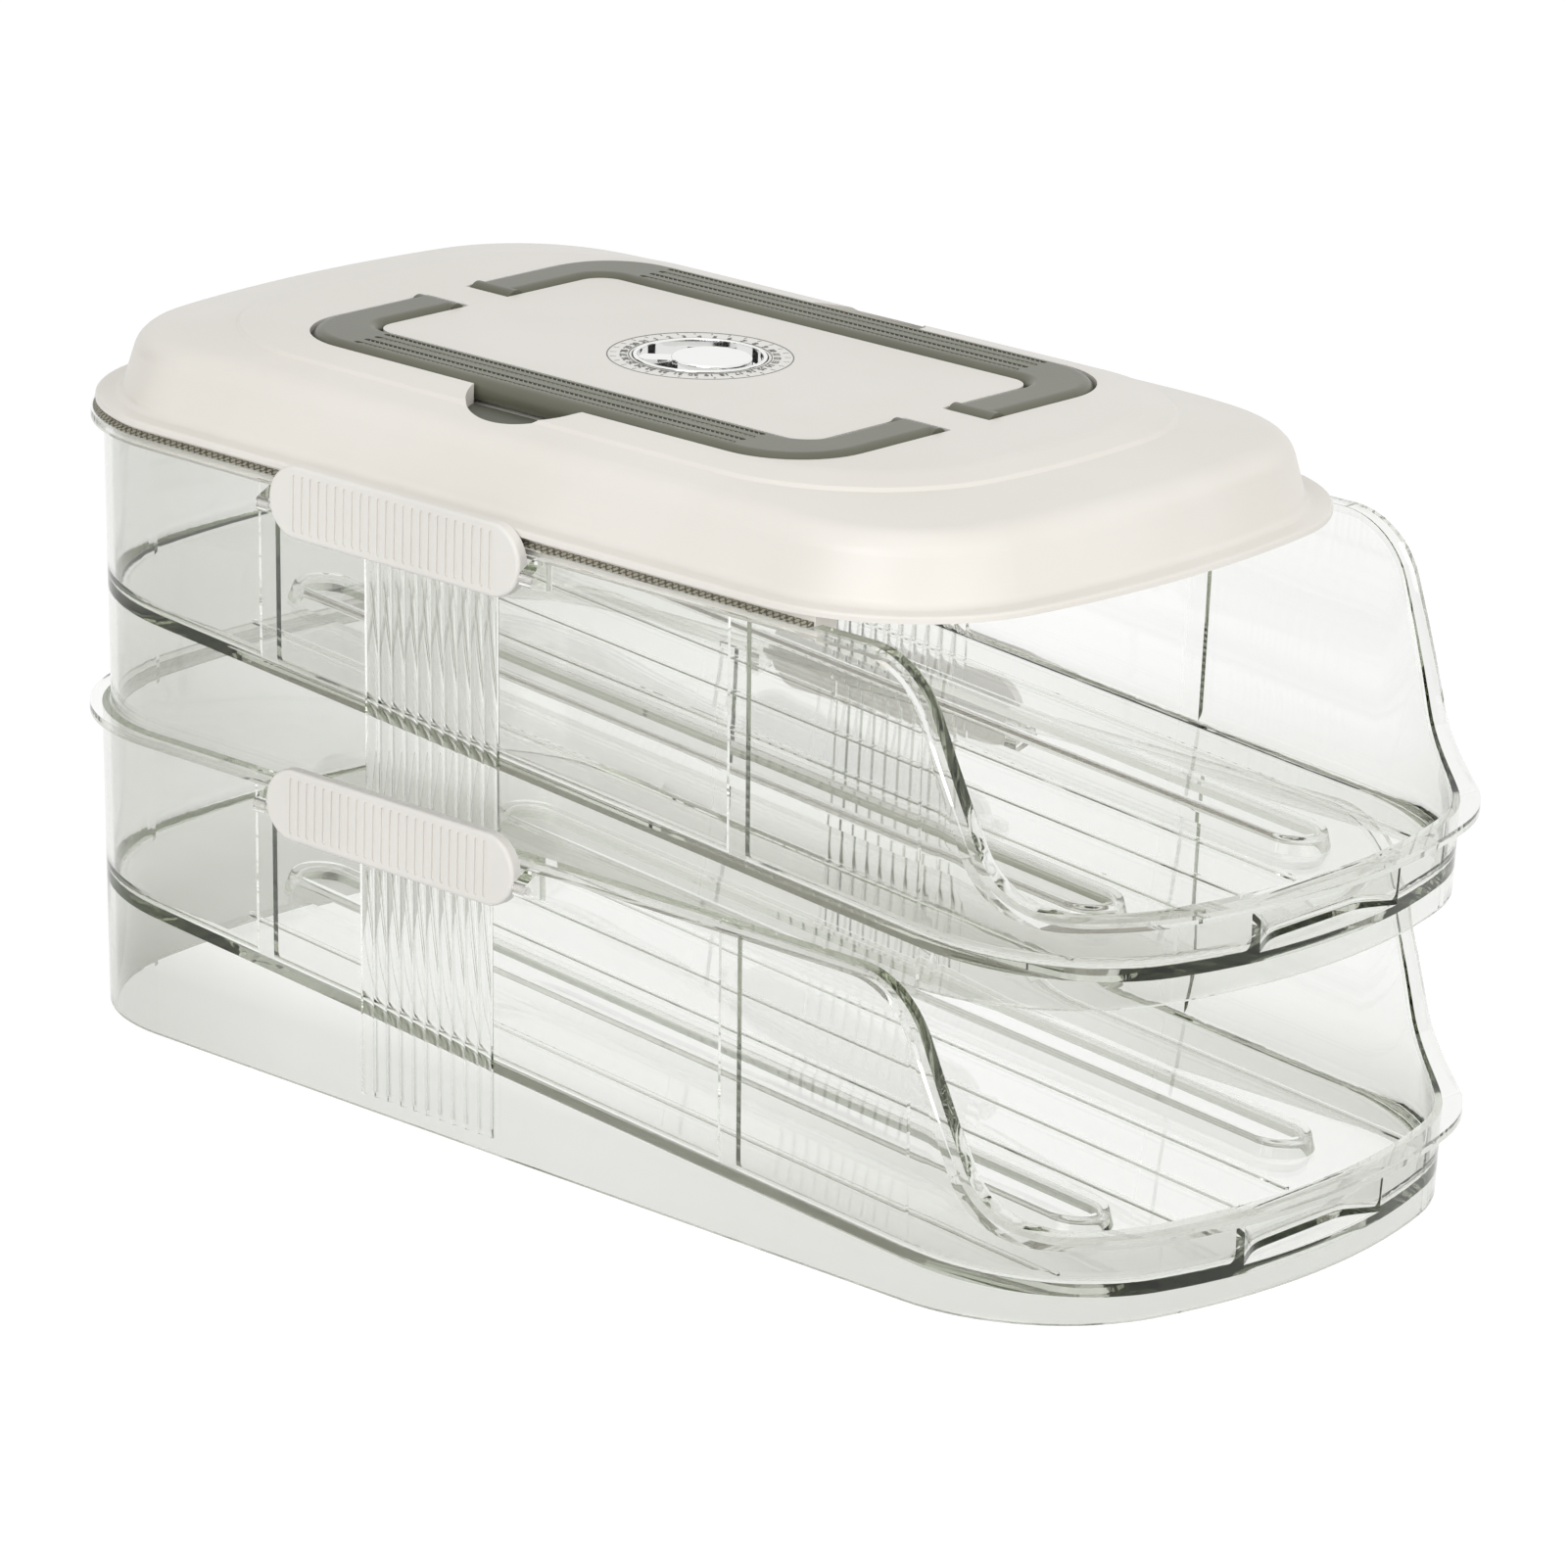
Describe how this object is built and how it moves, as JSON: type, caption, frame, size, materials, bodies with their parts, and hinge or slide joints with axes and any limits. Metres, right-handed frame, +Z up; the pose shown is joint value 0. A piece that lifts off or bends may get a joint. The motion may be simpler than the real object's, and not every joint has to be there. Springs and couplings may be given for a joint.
{
  "type": "rolling egg dispenser",
  "caption": "Stacking clear egg bin: sloped trays roll eggs to a low front mouth, under a lid with folding bail handles, a date dial and side clips.",
  "frame": {"origin": "centre of the bounding box on the plane that the lower tray stands on", "axes": "+Z up, +Y to the back along the trays' length, -Y to the egg mouths, +X to the right seen from the mouths"},
  "size_m": [0.1966, 0.3797, 0.1912],
  "materials": {
    "clear_plastic": "clear moulded plastic with a faint grey-green tint",
    "cream_plastic": "cream moulded plastic, satin sheen",
    "grey_plastic": "grey-green moulded plastic, satin",
    "white_plastic": "off-white moulded plastic with fine ribs",
    "chrome": "bright chrome plating",
    "silver": "satin silver plate",
    "steel": "plain steel pin"
  },
  "bodies": {
    "lower_tier": {"lower_tray": "clear_plastic", "clip_pins_lower_left": "white_plastic", "clip_pins_lower_right": "white_plastic"},
    "upper_tier": {"upper_tray": "clear_plastic", "clip_pins_upper_left": "white_plastic", "clip_pins_upper_right": "white_plastic"},
    "lid_body": {"lid": "cream_plastic", "dial_plate": "silver"},
    "left_bail": {"handle_left": "grey_plastic", "handle_pins_left": "steel"},
    "right_bail": {"handle_right": "grey_plastic", "handle_pins_right": "steel"},
    "dial": {"dial_ring": "chrome", "dial_cap": "chrome", "dial_axle": "steel"},
    "lower_left_clip": {"clip_lower_left": "white_plastic"},
    "lower_right_clip": {"clip_lower_right": "white_plastic"},
    "upper_left_clip": {"clip_upper_left": "white_plastic"},
    "upper_right_clip": {"clip_upper_right": "white_plastic"}
  },
  "joints": [
    {"name": "upper_tray_lift", "type": "slide", "parent": "lower_tier", "child": "upper_tier", "axis": [0, 0, 1], "range_m": [0, 0.1]},
    {"name": "lid_lift", "type": "slide", "parent": "upper_tier", "child": "lid_body", "axis": [0, 0, 1], "range_m": [0, 0.1]},
    {"name": "left_handle_fold", "type": "hinge", "parent": "lid_body", "child": "left_bail", "pos_m": [-0.0111, 0.0282, 0.188], "axis": [0, 1, 0], "range_deg": [0, 90]},
    {"name": "right_handle_fold", "type": "hinge", "parent": "lid_body", "child": "right_bail", "pos_m": [0.0111, 0.0282, 0.188], "axis": [0, -1, 0], "range_deg": [0, 90]},
    {"name": "dial_turn", "type": "hinge", "parent": "lid_body", "child": "dial", "pos_m": [0, 0.0282, 0.1885], "axis": [0, 0, 1], "continuous": true},
    {"name": "lower_left_clip_swing", "type": "hinge", "parent": "lower_tier", "child": "lower_left_clip", "pos_m": [-0.0967, 0.0407, 0.0766], "axis": [0, -1, 0], "range_deg": [0, 30]},
    {"name": "lower_right_clip_swing", "type": "hinge", "parent": "lower_tier", "child": "lower_right_clip", "pos_m": [0.0967, 0.0407, 0.0766], "axis": [0, 1, 0], "range_deg": [0, 30]},
    {"name": "upper_left_clip_swing", "type": "hinge", "parent": "upper_tier", "child": "upper_left_clip", "pos_m": [-0.0967, 0.0407, 0.1566], "axis": [0, -1, 0], "range_deg": [0, 30]},
    {"name": "upper_right_clip_swing", "type": "hinge", "parent": "upper_tier", "child": "upper_right_clip", "pos_m": [0.0967, 0.0407, 0.1566], "axis": [0, 1, 0], "range_deg": [0, 30]}
  ]
}
